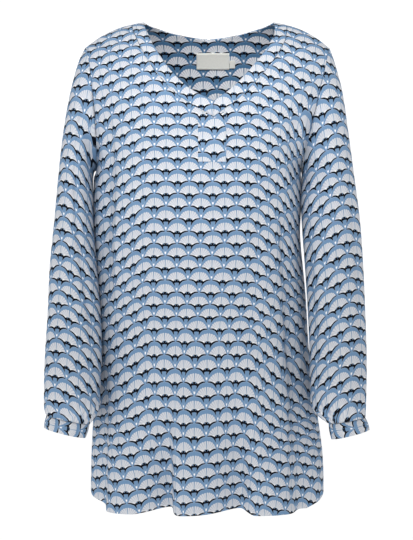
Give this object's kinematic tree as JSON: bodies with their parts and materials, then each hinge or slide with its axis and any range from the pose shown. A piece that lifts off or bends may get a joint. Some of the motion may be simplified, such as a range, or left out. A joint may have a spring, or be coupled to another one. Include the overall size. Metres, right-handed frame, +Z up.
{
  "type": "tunic top",
  "caption": "Long-sleeved tunic top with a wide V neck, half placket, gathered cuffs and a curved hem, in worn form, hollow and open at neck, hem and cuffs.",
  "frame": {"origin": "midway between the two neck points of the shoulder seams, where the wearer's shoulders carry the garment", "axes": "+Z up, -Y the way the front faces, +X towards the wearer's left"},
  "size_m": [0.506, 0.2397, 0.7793],
  "materials": {
    "printed_cloth": "thin woven crepe with a blue, white and black scale print",
    "band_cloth": "the same printed cloth, folded double",
    "label_tape": "cream woven satin tape"
  },
  "bodies": {
    "root": {"front_panel": "printed_cloth", "back_panel": "printed_cloth", "right_sleeve": "printed_cloth", "right_cuff": "band_cloth", "right_neck_band": "band_cloth", "left_sleeve": "printed_cloth", "left_cuff": "band_cloth", "left_neck_band": "band_cloth", "placket": "band_cloth", "neck_label": "label_tape", "size_tab": "label_tape"}
  },
  "joints": []
}
